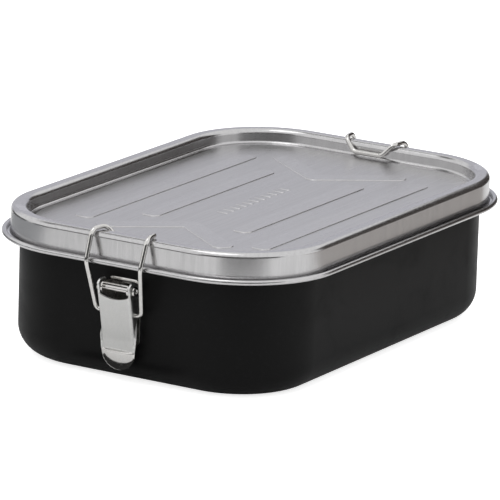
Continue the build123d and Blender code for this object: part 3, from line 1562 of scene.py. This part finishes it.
@dataclass
class Latch:
    """One whole latch at one end of the box."""

    end: End
    wall: float
    bracket: Bracket = field(default_factory=Bracket)
    rivet: Rivet = field(default_factory=Rivet)
    lever: Lever = field(default_factory=Lever)
    bail: Bail = field(default_factory=Bail)

    def make(self, finishes: Finishes) -> None:
        """Builds the four pieces of the latch.

        Args:
            finishes: The materials.
        """
        turn = Matrix.Rotation(math.radians(self.end.value), 4, "Z")
        seat = Seat(self.end, turn @ Matrix.Translation((self.wall, 0, 0)), finishes)
        for part in (self.bracket, self.rivet, self.lever, self.bail):
            part.make(seat)


# --------------------------------------------------------------------------- studio


@dataclass(frozen=True)
class Card:
    """A flat plate that gives off light to mirror reflections only, in metres."""

    name: str
    shine: Colour

    def plate(self, corners: list[tuple]) -> bpy.types.Object:
        """Makes the plate.

        Args:
            corners: Its four corners.

        Returns:
            The plate.
        """
        material = bpy.data.materials.new(self.name)
        material.use_nodes = True
        material.node_tree.nodes.clear()
        desk = NodeDesk(material.node_tree)
        glow = desk.add("ShaderNodeEmission", Color=self.shine)
        desk.add("ShaderNodeOutputMaterial", Surface=glow.outputs[0])
        plate = plate_mesh(self.name, corners, material)
        plate.visible_camera = False
        plate.visible_diffuse = False
        plate.visible_shadow = False
        plate.visible_transmission = False
        return plate


@dataclass(frozen=True)
class StandingCard(Card):
    """A card that faces the box from a direction: round from +X, then upward."""

    towards: Point
    distance: float
    size: Point

    def make(self) -> None:
        """Makes the card and stands it in its place."""
        w, h = self.size[0] / 2, self.size[1] / 2
        card = self.plate([(0, -w, -h), (0, w, -h), (0, w, h), (0, -w, h)])
        around, up = (math.radians(angle) for angle in self.towards)
        card.location = (
            self.distance * math.cos(around) * math.cos(up),
            self.distance * math.sin(around) * math.cos(up),
            self.distance * math.sin(up),
        )
        card.rotation_euler = (0, -up, around)


@dataclass(frozen=True)
class FloorCard(Card):
    """A card that lies just above the floor, with its corners as (x, y)."""

    corners: tuple[Point, ...]
    height: float = 0.0005

    def make(self) -> None:
        """Makes the card."""
        self.plate([(x, y, self.height) for x, y in self.corners])


CARDS = (
    StandingCard("back_grey_card", (0.62, 0.62, 0.67, 1), (31.0, 14.0), 2.0, (3.4, 1.25)),
    StandingCard("upper_dark_card", (0.15, 0.15, 0.15, 1), (80.0, 55.0), 1.6, (1.1, 0.34)),
    StandingCard("right_dark_card", (0.065, 0.057, 0.053, 1), (-24.0, 19.0), 0.44, (0.52, 0.30)),
    StandingCard("left_dark_card", (0.08, 0.08, 0.08, 1), (95.0, 3.0), 0.40, (0.30, 0.14)),
    StandingCard("left_low_dark_card", (0.08, 0.08, 0.08, 1), (149.0, 6.0), 0.42, (0.40, 0.10)),
    StandingCard("camera_dark_card", (0.09, 0.09, 0.09, 1), (211.0, 15.0), 1.1, (2.1, 0.62)),
    FloorCard("right_floor_card", (0.50, 0.475, 0.455, 1),
              ((0.07, -0.80), (1.20, -0.80), (1.20, -0.125), (0.07, -0.125))),
    FloorCard("left_floor_card", (0.40, 0.41, 0.42, 1),
              ((-0.30, 0.20), (0.05, 0.20), (0.05, 0.80), (-0.30, 0.80))),
    FloorCard("latch_floor_card", (0.03, 0.03, 0.03, 1),
              ((-0.117, -0.02), (-0.103, -0.02), (-0.103, 0.03), (-0.117, 0.03))),
    FloorCard("camera_floor_card", (0.1, 0.1, 0.1, 1),
              ((-0.326, -0.056), (-0.182, -0.296), (-0.449, -0.456), (-0.593, -0.217))),
)


@dataclass
class Studio:
    """Pale floor, soft light, cards for the steel to mirror, and the camera, in metres."""

    azimuth: float = -59.103
    elevation: float = 15.603
    distance: float = 2.32733
    aim: Spot = (-0.00053, 0.00088, 0.0353)
    roll: float = 1.749
    lens: float = 395.0
    nearest: float = 0.1
    world_light: float = 1.0
    floor_half: float = 12.0
    floor_glow: Colour = (0.75, 0.75, 0.75, 1)
    floor_tones: tuple[Colour, Colour] = ((0.90, 0.90, 0.90, 1), (0.93, 0.93, 0.93, 1))
    lamp_place: Spot = (-0.3, 0.3, 1.6)
    lamp_size: Point = (0.9, 0.7)
    lamp_power: float = 3.0

    def camera(self) -> None:
        """Places the camera at the three-quarter view."""
        a, e = math.radians(self.azimuth), math.radians(self.elevation)
        back = Vector((math.sin(a) * math.cos(e), -math.cos(a) * math.cos(e), math.sin(e)))
        data = bpy.data.cameras.new("Camera")
        data.lens = self.lens
        data.clip_start = self.nearest
        eye = linked("Camera", data)
        eye.location = back * self.distance
        look = (Vector(self.aim) - eye.location).to_track_quat("-Z", "Y")
        eye.rotation_mode = "QUATERNION"
        eye.rotation_quaternion = look @ Quaternion((0, 0, 1), math.radians(self.roll))
        bpy.context.scene.camera = eye

    def floor(self) -> None:
        """A wide pale floor, lifted towards white only where the camera sees it."""
        material, desk, shader = fresh_material("studio_floor")
        shader.inputs["Roughness"].default_value = 0.8
        shader.inputs["Specular IOR Level"].default_value = 0.1
        shader.inputs["Emission Color"].default_value = self.floor_glow
        seen = desk.add("ShaderNodeLightPath").outputs["Is Camera Ray"]
        desk.link(seen, shader.inputs["Emission Strength"])
        noise = desk.add("ShaderNodeTexNoise", Scale=3.0, Detail=3.0)
        tone = desk.blend(noise.outputs["Fac"], *self.floor_tones)
        desk.link(tone, shader.inputs["Base Color"])
        h = self.floor_half
        corners = [(-h, -h, 0), (h, -h, 0), (h, h, 0), (-h, h, 0)]
        plate_mesh("studio_floor", corners, material)

    def lights(self) -> None:
        """An even white surround, one soft lamp overhead, and the cards."""
        world = bpy.data.worlds.new("studio")
        bpy.context.scene.world = world
        world.use_nodes = True
        surround = world.node_tree.nodes["Background"]
        surround.inputs["Color"].default_value = (1, 1, 1, 1)
        surround.inputs["Strength"].default_value = self.world_light
        lamp = bpy.data.lights.new("overhead", "AREA")
        lamp.shape = "RECTANGLE"
        lamp.size, lamp.size_y = self.lamp_size
        lamp.energy = self.lamp_power
        hung = linked("overhead", lamp)
        hung.location = self.lamp_place
        hung.rotation_euler = (-Vector(self.lamp_place)).to_track_quat("-Z", "Y").to_euler()
        for card in CARDS:
            card.make()

    def make(self) -> None:
        """Sets up the whole studio."""
        bpy.context.scene.view_settings.view_transform = "Standard"
        self.camera()
        self.floor()
        self.lights()


def highest(node: str) -> Vector:
    """Highest corner of a CAD node, in millimetres."""
    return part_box(node)[1] / MM


def main() -> None:
    """Builds the lunch box and its studio around the frame."""
    logging.basicConfig(level=logging.INFO, format="%(name)s: %(message)s")
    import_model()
    finishes = Finishes()
    curl = 2 * Tray.curl_radius
    tray_corner = highest("tray")
    footprint = Footprint(tray_corner.x - curl, tray_corner.y - curl)
    Tray(footprint).make(finishes)
    Lid(footprint, highest("lid").z, RibbedPanel(footprint)).make(finishes)
    Seal(footprint).make(finishes)
    for end in End:
        Latch(end, footprint.half_length).make(finishes)
    Studio().make()


if __name__ == "__main__":
    main()
